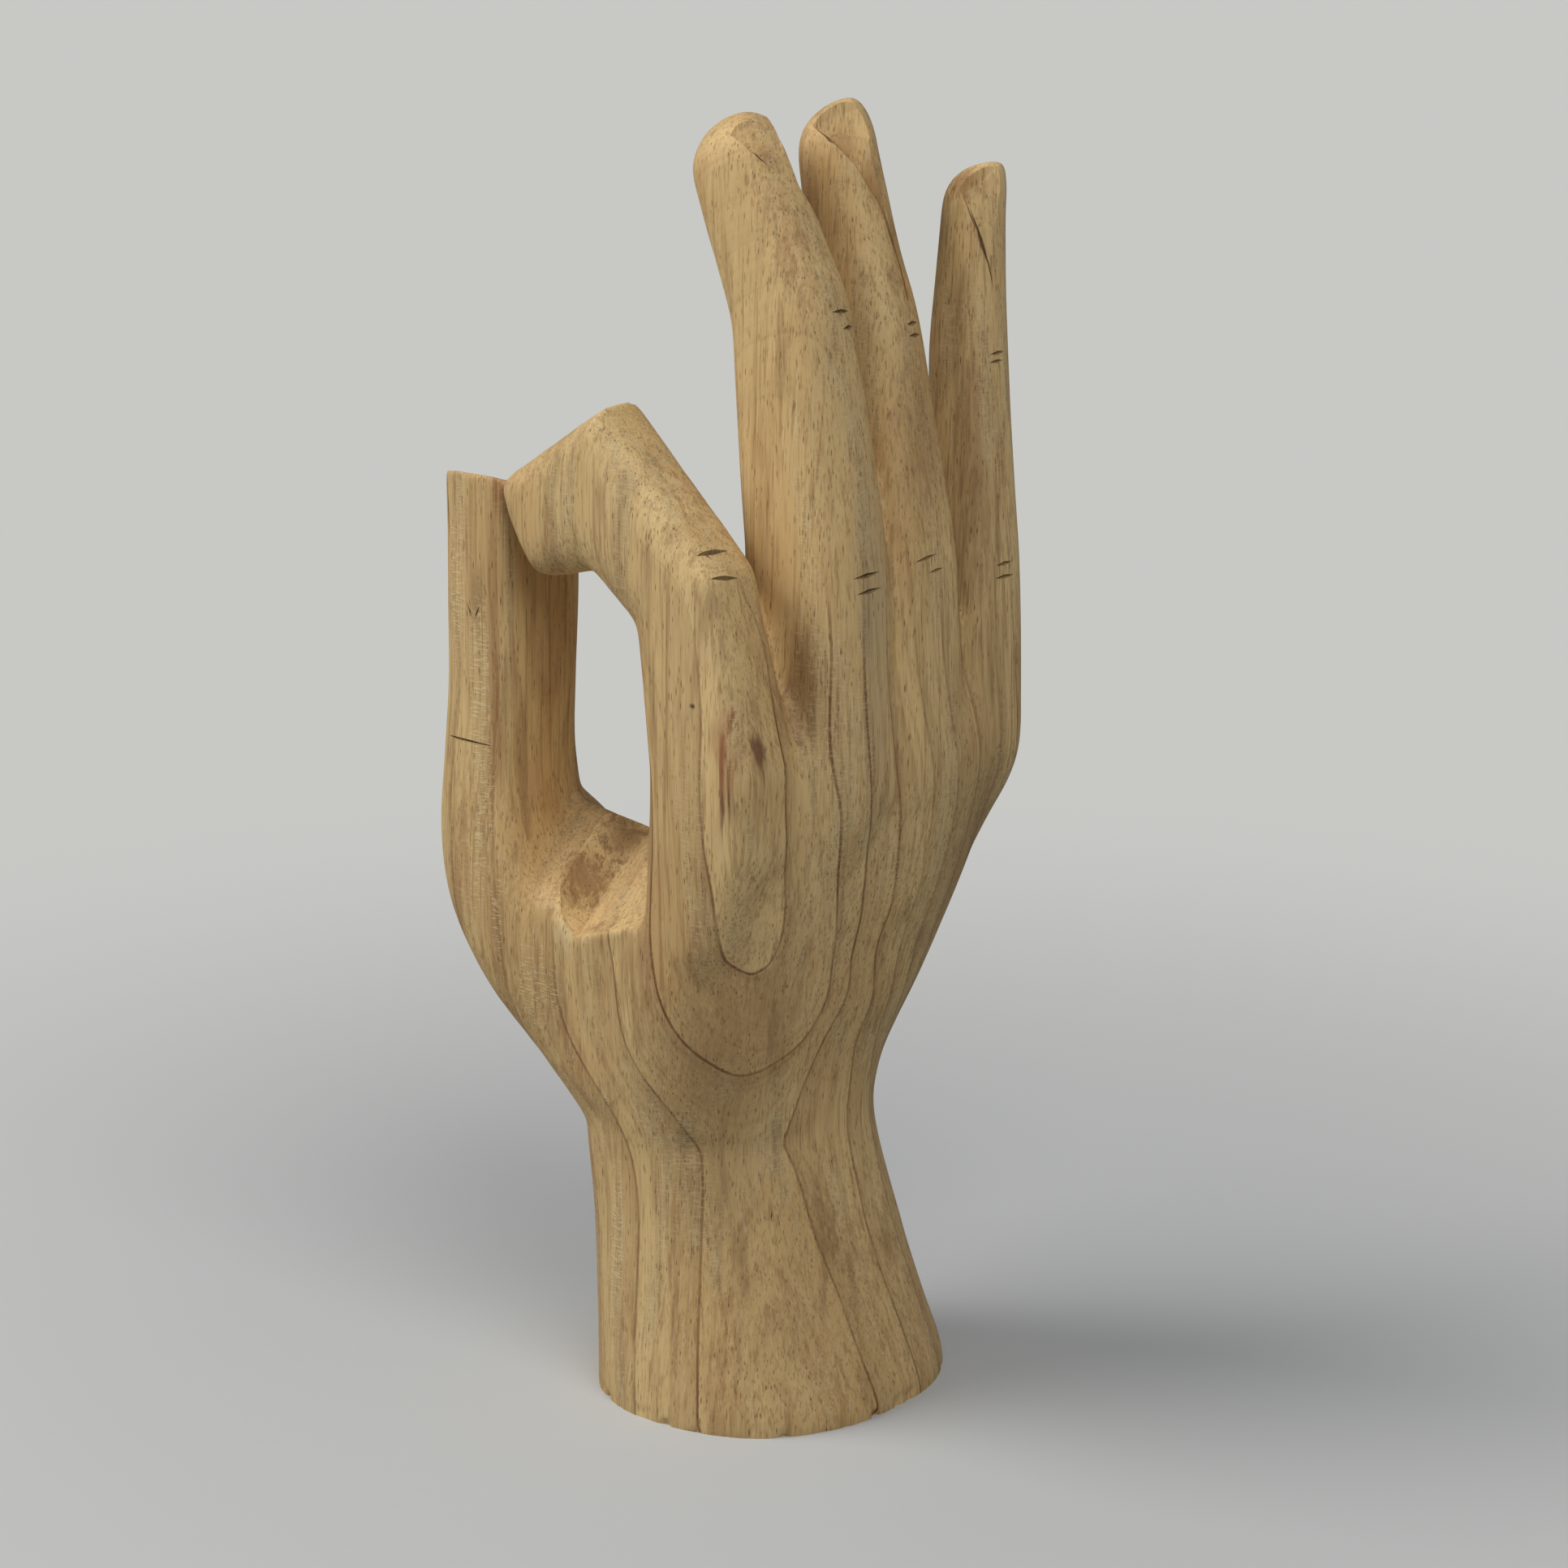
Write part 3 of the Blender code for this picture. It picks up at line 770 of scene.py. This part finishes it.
wood = {
    "pale": "#E8C78B", "tan": "#D6B177", "band": "#9A744B", "ringLine": "#77512F", "pore": "#6A4026",
    # cut is the colour inside the knife cuts, and the share after torn says how much of it shows: partly
    # dust, partly painted shade
    "cut": "#4A3826", "torn": "#E3CFA3", "dustAndShade": 0.55, "roughness": 0.62, "specular": 0.3,
    # grain, each layer a noise: width and length in mm, detail, where it starts and is full, strength, colour
    "grain": {
        "brownPatch": (7, 60, 4, 0.52, 0.7, 0.55, "#94704A"),
        "greyPatch": (8, 90, 2, 0.56, 0.7, 0.22, "#B3A47F"),
        "redPatch": (10, 50, 3, 0.54, 0.7, 0.3, "#B5804F"),
        "wideFibre": (1.3, 60, 3, 0.5, 0.68, 0.5, "#9A754B"),
        "paleFibre": (0.9, 40, 3, 0.53, 0.7, 0.35, "#E6CE9F"),
        "fineFibre": (0.45, 16, 2, 0.52, 0.72, 0.5, "#8C643C"),
    },
    # stains that follow the fibres, and marks of painted shade in gaps, hollows and on shaded sides: x, y, z,
    # half width, half height, strength, colour
    "stainsAndPaintedShade": (
        (24, -44, 160, 2, 9, 0.85, "#8C5433"), (24.3, -44, 151.5, 1.5, 4.5, 0.85, "#5E3524"),
        (28, -40, 163, 1.5, 6.5, 0.8, "#6B4030"), (22, -45, 167, 1.8, 6, 0.5, "#A56B48"),
        (36, -9, 200, 4, 44, 0.35, "#B3A284"), (-45, -38, 212, 3.5, 5, 0.75, "#99643B"),
        # the first mark here is painted shade in the gap between the index and middle fingers
        (27, -24, 176, 4, 14, 0.6, "#80593A"), (13, 9, 290, 2.5, 5, 0.4, "#94673C"),
        (19.5, 12.3, 281, 2, 8, 0.4, "#94673C"), (24.5, 14.6, 269, 1.6, 10, 0.4, "#94673C"),
        (38, 12, 235, 7, 22, 0.5, "#92694A"), (39, 26, 220, 6, 36, 0.5, "#85603F"),
        # the second mark here and the first on the next line are painted shade: on the valley's steep side
        # and in its deep far corner
        (6, -30, 72, 12, 20, 0.35, "#9A8058"), (-30, -30, 123, 5.5, 6, 0.75, "#8C6539"),
        (-27, -20, 131, 5, 6, 0.6, "#7A5430"), (-28, -40, 112, 2.2, 3.5, 0.4, "#EBD2A2"),
        (-49, -38.7, 176, 1.2, 34, 0.5, "#A06E44"), (-54, -39, 186, 2, 6, 0.5, "#8C6C48"),
        (-46, -42, 110, 1.5, 16, 0.45, "#9F7047"), (29, 32.3, 279.8, 3, 3.5, 0.65, "#9A6A3C"),
        # the first mark here is painted shadow that the ring finger casts on the little finger's side
        (24.3, 33.4, 264, 2.2, 14, 0.65, "#6F5030"), (10.5, -13.8, 290, 2.4, 3, 0.5, "#9F7043"),
        # the second mark here is painted shade that darkens the top facet of the index finger
        (18, -33, 92, 13, 12, 0.3, "#A5825A"), (-27, -30, 228, 14, 9, 0.35, "#A0854F"),
        (39, 25, 145, 8, 45, 0.3, "#8F7048"), (14.7, -46.2, 173.5, 0.45, 0.45, 0.9, "#4B3B2E"),
    ),
    "valley": (-24, -29, 123, 14, 13),
    # places where the grain is torn: x, y, z, half width, half height
    "tornPlaces": (
        (-53, -39, 165, 2.6, 20), (-52, -41, 132, 2.4, 16), (-46, -42, 112, 2, 9), (-36, -41, 97, 5, 8),
        (-16, -37, 36, 2, 20), (34, -19, 20, 3, 10), (-60, -38, 190, 2, 14),
    ),
}


def placeShare(tree, mm, fray, spot, strength):
    # full strength at a place on the skin, none outside its half width and half height
    x, y, z, halfWidth, halfHeight = spot
    away = addNode(tree, "VectorMath", {"operation": "SUBTRACT"}, {0: mm, 1: (x, y, z)})
    away = addNode(tree, "VectorMath", {"operation": "DIVIDE"},
                   {0: away, 1: (halfWidth * 1.5, halfWidth * 1.5, halfHeight * 1.5)})
    away = addNode(tree, "VectorMath", {"operation": "LENGTH"}, {0: away}, "Value")
    away = addNode(tree, "Math", {"operation": "ADD"}, {0: away, 1: fray})
    return ranged(tree, away, 1.1, 0.3, 0.0, strength, smooth=True)


def paleHardwood(name, dustAndShade):
    # raw carved hardwood: matt, with thin ring lines, long fibres, open pores and torn grain on the facets
    material, tree, shader = newMaterial(name, wood["roughness"])
    shader.inputs["Specular IOR Level"].default_value = wood["specular"]
    place = addNode(tree, "TexCoord", output="Object")
    mm = addNode(tree, "VectorMath", {"operation": "SCALE"}, {0: place, "Scale": 1000.0})
    height = addNode(tree, "SeparateXYZ", None, {0: mm}, "Z")
    ringNumber = addNode(tree, "Attribute", {"attribute_name": "ringNumber"}, output="Fac")
    growth = addNode(tree, "Attribute", {"attribute_name": "ringGrowth"}, output="Fac")

    # broad clouds of two tones
    cloudAt = addNode(tree, "VectorMath", {"operation": "MULTIPLY"}, {0: mm, 1: (0.035, 0.035, 0.012)})
    cloud = addNode(tree, "TexNoise", None, {"Vector": cloudAt, "Scale": 1.0, "Detail": 2.0})
    colour = tinted(tree, linear(wood["pale"]), ranged(tree, cloud, 0.35, 0.65), wood["tan"])

    # rings show less on the fingers, and their lines less towards the little finger and in the valley
    bandFades = ranged(tree, height, 165.0, 200.0, 1.0, 0.3)
    lineFades = ranged(tree, height, 170.0, 205.0, 1.0, 0.12)
    lineFades = product(tree, lineFades, ranged(tree, ringNumber, 3.2, 4.8, 1.0, 0.5))

    # ring bands: narrow tones that follow the rings, darkest just outside each ring line
    shaken = addNode(tree, "Math", {"operation": "MULTIPLY_ADD"}, {0: cloud, 1: 0.25, 2: ringNumber})
    bandAt = addNode(tree, "CombineXYZ", None, {"X": shaken})
    band = addNode(tree, "TexNoise", None, {"Vector": bandAt, "Scale": 5.0, "Detail": 5.0, "Roughness": 0.7})
    share = product(tree, ranged(tree, band, 0.48, 0.7, 0.0, 0.5), bandFades)
    colour = tinted(tree, colour, share, wood["band"])
    late = addNode(tree, "Math", {"operation": "FRACT"}, {0: ringNumber})
    share = product(tree, ranged(tree, late, 0.45, 0.0, 0.0, 0.32), bandFades)
    colour = tinted(tree, colour, share, wood["band"])

    # patches and fibres, stretched along the grain
    grain = {}
    for number, (layerName, layer) in enumerate(wood["grain"].items()):
        width, length, detail, low, high, strength, tone = layer
        stretch, shift = (1 / width, 1 / width, 1 / length), (number * 17.0, number * 5.0, 3.0)
        grainAt = addNode(tree, "VectorMath", {"operation": "MULTIPLY_ADD"}, {0: mm, 1: stretch, 2: shift})
        fibres = addNode(tree, "TexNoise", None, {"Vector": grainAt, "Scale": 1.0, "Detail": detail,
                                                  "Roughness": 0.62})
        colour = tinted(tree, colour, ranged(tree, fibres, low, high, 0.0, strength, smooth=True), tone)
        grain[layerName] = fibres

    # stains and painted shade, with edges drawn out along the fibres
    fray = ranged(tree, grain["wideFibre"], 0.25, 0.75, -0.7, 0.7)
    for *spot, strength, tone in wood["stainsAndPaintedShade"]:
        colour = tinted(tree, colour, placeShare(tree, mm, fray, spot, strength), tone)

    # ring lines: about 0.4 mm wide, a little broken where pores open on them
    wobble = addNode(tree, "Math", {"operation": "MULTIPLY_ADD"},
                     {0: grain["brownPatch"], 1: 0.02, 2: ringNumber})
    beside = addNode(tree, "Math", {"operation": "PINGPONG"}, {0: wobble, 1: 0.5})
    beside = addNode(tree, "Math", {"operation": "DIVIDE"}, {0: beside, 1: growth})
    line = ranged(tree, beside, 0.5, 0.15, smooth=True)
    patchy = ranged(tree, grain["redPatch"], 0.35, 0.6, 0.4, 0.9)
    valley = ranged(tree, placeShare(tree, mm, fray, wood["valley"], 1.0), 0.0, 1.0, 1.0, 0.0)
    line = product(tree, line, product(tree, patchy, product(tree, lineFades, valley)))
    colour = tinted(tree, colour, line, wood["ringLine"])

    # pores: dashes 0.3 mm wide and 2 mm long that turn to dots on end grain, closer beside the ring lines
    pores = []
    closer = ranged(tree, beside, 2.0, 0.3, 0.0, 0.35)
    dense = ranged(tree, grain["greyPatch"], 0.35, 0.65, 0.15, 0.5)
    dense = addNode(tree, "Math", {"operation": "ADD"}, {0: dense, 1: closer})
    for scale, offset in (((1.5, 1.5, 0.24), 0.0), ((1.9, 1.9, 0.3), 40.0)):
        cellAt = addNode(tree, "VectorMath", {"operation": "MULTIPLY_ADD"},
                         {0: mm, 1: scale, 2: (offset, 0, 0)})
        cell = addNode(tree, "TexVoronoi", None, {"Vector": cellAt, "Scale": 1.0}, "Distance")
        picked = addNode(tree, "SeparateColor", None, {0: cell.node.outputs["Color"]})
        kept = addNode(tree, "Math", {"operation": "LESS_THAN"}, {0: picked, 1: dense})
        strength = ranged(tree, picked.node.outputs[1], 0.0, 1.0, 0.2, 0.7)
        share = product(tree, product(tree, ranged(tree, cell, 0.3, 0.14), kept), strength)
        colour = tinted(tree, colour, share, wood["pore"])
        pores.append(share)

    # torn grain: short pale ticks across the fibres, thin all over and thick in the torn places
    tickAt = addNode(tree, "VectorMath", {"operation": "MULTIPLY"}, {0: mm, 1: (0.5, 0.5, 2.2)})
    tick = addNode(tree, "TexNoise", None, {"Vector": tickAt, "Scale": 1.0, "Detail": 2.0})
    where = ranged(tree, grain["greyPatch"], 0.5, 0.64, 0.0, 0.25)
    for spot in wood["tornPlaces"]:
        share = placeShare(tree, mm, fray, spot, 0.6)
        where = addNode(tree, "Math", {"operation": "MAXIMUM"}, {0: where, 1: share})
    torn = product(tree, ranged(tree, tick, 0.5, 0.62), where)
    colour = tinted(tree, colour, torn, wood["torn"])

    # inside the knife cuts the wood is darker: partly dust, partly painted shade in the grooves
    tree.links.new(tinted(tree, colour, dustAndShade, wood["cut"]), shader.inputs["Base Color"])

    # relief in mm: pores and lines lie low, fibres and torn grain stand up
    relief = 0.0
    for part, rise in ((pores[0], -0.16), (pores[1], -0.12), (line, -0.05), (grain["wideFibre"], 0.22),
                       (grain["fineFibre"], 0.14), (torn, 0.12)):
        relief = addNode(tree, "Math", {"operation": "MULTIPLY_ADD"}, {0: part, 1: rise, 2: relief})
    bump = addNode(tree, "Bump", None, {"Strength": 0.7, "Distance": 0.001, "Height": relief}, "Normal")
    tree.links.new(bump, shader.inputs["Normal"])
    rough = ranged(tree, grain["wideFibre"], 0.3, 0.7, wood["roughness"] - 0.06, wood["roughness"] + 0.08)
    tree.links.new(rough, shader.inputs["Roughness"])
    return material


emptySlots(hand.data)
cutters = []
for cuts in knifeCuts.values():
    if isinstance(cuts, tuple):
        cutters += [knifeCutter(skinOf, line, left, right, depth) for *line, left, right, depth in cuts]
cutters += [knifeCutter(skinOf, nails[name]["border"], *nails["line"]) for name in fingers]
for cutter in cutters:
    cutWith(hand, cutter)
print("knife cuts made:", len(cutters))
markRings(hand)
hand.data.transform(Matrix.Scale(toMetres, 4))
hand.data.materials[0] = paleHardwood("paleHardwoodRawCarved", 0.0)
hand.data.materials[1] = paleHardwood("paleHardwoodKnifeCut", wood["dustAndShade"])
hand.data.shade_smooth()
hand.data.set_sharp_from_angle(angle=math.radians(38))
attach(hand, "root")
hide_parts("carved_hand")
print("wood made")


# Floor, light and camera

studio = {
    "paper": "#C8C8C5", "paperSeen": "#C8C8C5", "paperBounce": "#8E8E8B",
    # direction, distance, size in metres and power of each lamp
    "lamps": {"key": ((-0.53, -0.51, 0.68), 1.6, 1.1, 17.2), "fill": ((0.6, -0.38, 0.71), 1.6, 1.1, 10.3)},
    "room": "#D4DDE9", "roomStrength": 0.23,
}


def paperFloor():
    # a matt paper sweep: it holds the shadow close to the hand and looks even far away
    material, tree, shader = newMaterial("paperSweep", 0.85)
    camera = addNode(tree, "LightPath", output="Is Camera Ray")
    colour = tinted(tree, linear(studio["paperBounce"]), camera, studio["paper"])
    tree.links.new(colour, shader.inputs["Base Color"])
    place = addNode(tree, "TexCoord", output="Object")
    away = addNode(tree, "VectorMath", {"operation": "LENGTH"}, {0: place}, "Value")
    share = product(tree, ranged(tree, away, 0.08, 0.5, smooth=True), camera)
    even = addNode(tree, "Emission", None, {"Color": linear(studio["paperSeen"])})
    mix = addNode(tree, "MixShader", None, {0: share, 1: shader.outputs[0], 2: even})
    tree.links.new(mix, tree.nodes["Material Output"].inputs["Surface"])
    return material


floorMesh = bpy.data.meshes.new("floor")
floorMesh.from_pydata([(-3, -3, 0), (3, -3, 0), (3, 3, 0), (-3, 3, 0)], [], [(0, 1, 2, 3)])
floor = bpy.data.objects.new("floor", floorMesh)
bpy.context.scene.collection.objects.link(floor)
floorMesh.materials.append(paperFloor())

photo = {
    "azimuth": 38, "elevation": 16, "distance": 1.2, "target": (0.00239, 0.00187, 0.14289), "lens": 121.22,
}


def placeCamera():
    azimuth, elevation = math.radians(photo["azimuth"]), math.radians(photo["elevation"])
    back = Vector((math.sin(azimuth) * math.cos(elevation), -math.cos(azimuth) * math.cos(elevation),
                   math.sin(elevation)))
    data = bpy.data.cameras.new("camera")
    data.lens = photo["lens"]
    data.sensor_width = 36
    camera = bpy.data.objects.new("camera", data)
    camera.location = Vector(photo["target"]) + back * photo["distance"]
    camera.rotation_euler = (-back).to_track_quat("-Z", "Y").to_euler()
    bpy.context.scene.collection.objects.link(camera)
    bpy.context.scene.camera = camera
    return back


def areaLight(name, direction, distance, size, power):
    data = bpy.data.lights.new(name, "AREA")
    data.shape = "DISK"
    data.size = size
    data.energy = power
    lamp = bpy.data.objects.new(name, data)
    lamp.location = Vector((0, 0, 0.15)) + Vector(direction).normalized() * distance
    lamp.rotation_euler = (-Vector(direction)).to_track_quat("-Z", "Y").to_euler()
    bpy.context.scene.collection.objects.link(lamp)


placeCamera()
for name, lamp in studio["lamps"].items():
    areaLight(name, *lamp)
world = bpy.data.worlds.new("softRoom")
bpy.context.scene.world = world
world.use_nodes = True
world.node_tree.nodes["Background"].inputs["Color"].default_value = linear(studio["room"])
world.node_tree.nodes["Background"].inputs["Strength"].default_value = studio["roomStrength"]
bpy.context.scene.view_settings.view_transform = "Standard"
